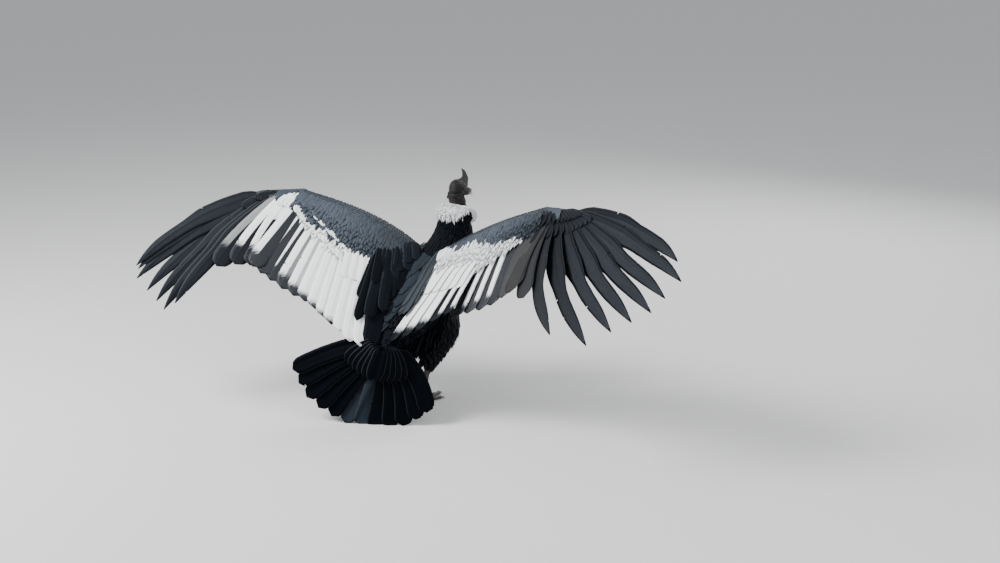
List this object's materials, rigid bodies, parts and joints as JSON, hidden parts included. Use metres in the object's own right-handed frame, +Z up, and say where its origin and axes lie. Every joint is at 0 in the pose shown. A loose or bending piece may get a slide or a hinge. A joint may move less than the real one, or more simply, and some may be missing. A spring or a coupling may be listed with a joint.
{
  "type": "andean condor model",
  "caption": "Life-size standing Andean condor, wings spread and drooping, tail fanned to the floor, white ruff and fleshy comb; a still natural-history display model.",
  "frame": {"origin": "under the middle of the bird's box, on the floor that its toes and tail rest on", "axes": "+X to the bird's right along the spread wings, +Y the way it faces, +Z up"},
  "size_m": [2.4612, 1.0224, 1.0111],
  "materials": {
    "black_feathers": "glossy black feathers with a slate sheen",
    "slate_feathers": "slate-black covert and shoulder feathers",
    "white_feathers": "white secondaries and coverts with dark webs and tips",
    "white_down": "soft white down",
    "bare_skin": "dark wrinkled bare skin",
    "comb_skin": "fleshy dark grey comb",
    "bill_horn": "ivory horn, dark at the root",
    "eye": "wet brown eye",
    "leg_scales": "grey scaly skin",
    "claw_horn": "blunt dark horn"
  },
  "bodies": {
    "root": {"torso": "black_feathers", "ruff": "white_down", "neck": "bare_skin", "head": "bare_skin", "comb": "comb_skin", "bill_upper": "bill_horn", "bill_lower": "bill_horn", "tail": "black_feathers", "right_eye": "eye", "right_wing_arm": "slate_feathers", "right_wing_forearm": "white_feathers", "right_wing_hand": "black_feathers", "right_thigh": "black_feathers", "right_shank": "leg_scales", "right_foot": "leg_scales", "right_middle_claw": "claw_horn", "right_inner_claw": "claw_horn", "right_outer_claw": "claw_horn", "right_hind_claw": "claw_horn", "left_eye": "eye", "left_wing_arm": "slate_feathers", "left_wing_forearm": "white_feathers", "left_wing_hand": "black_feathers", "left_thigh": "black_feathers", "left_shank": "leg_scales", "left_foot": "leg_scales", "left_middle_claw": "claw_horn", "left_inner_claw": "claw_horn", "left_outer_claw": "claw_horn", "left_hind_claw": "claw_horn"}
  },
  "joints": []
}
